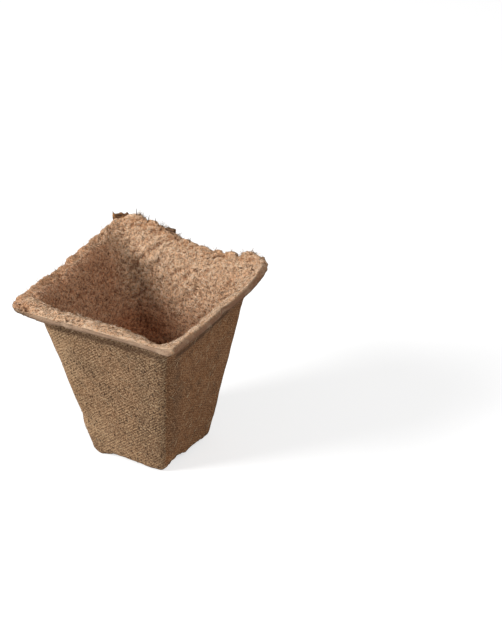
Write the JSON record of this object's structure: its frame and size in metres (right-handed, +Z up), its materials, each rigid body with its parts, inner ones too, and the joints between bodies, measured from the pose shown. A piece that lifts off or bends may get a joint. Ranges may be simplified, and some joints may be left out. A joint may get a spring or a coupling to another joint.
{
  "type": "peat pot",
  "caption": "Square tapered seedling pot moulded from peat and wood fibre, with a warped, torn lip, an arched floor, and loose stems, a bark flake and a shaving caught in the rim.",
  "frame": {"origin": "on the ground, below the centre of the pot's outline", "axes": "+Z up through the mouth; +X and +Y square to the walls; the front of the picture is the corner between +X and -Y, and the corner between -X and +Y stands up"},
  "size_m": [0.0812, 0.0811, 0.0886],
  "materials": {
    "peat_pulp": "matt moulded peat and wood fibre, screen-marked outside and felted inside",
    "plant_stem": "dry matt plant stem",
    "bark": "dark matt bark",
    "wood_shaving": "dark matt curled shaving"
  },
  "bodies": {
    "root": {"pot_body": "peat_pulp", "rim_stems": "plant_stem", "bark_flake": "bark", "curled_shaving": "wood_shaving"}
  },
  "joints": []
}
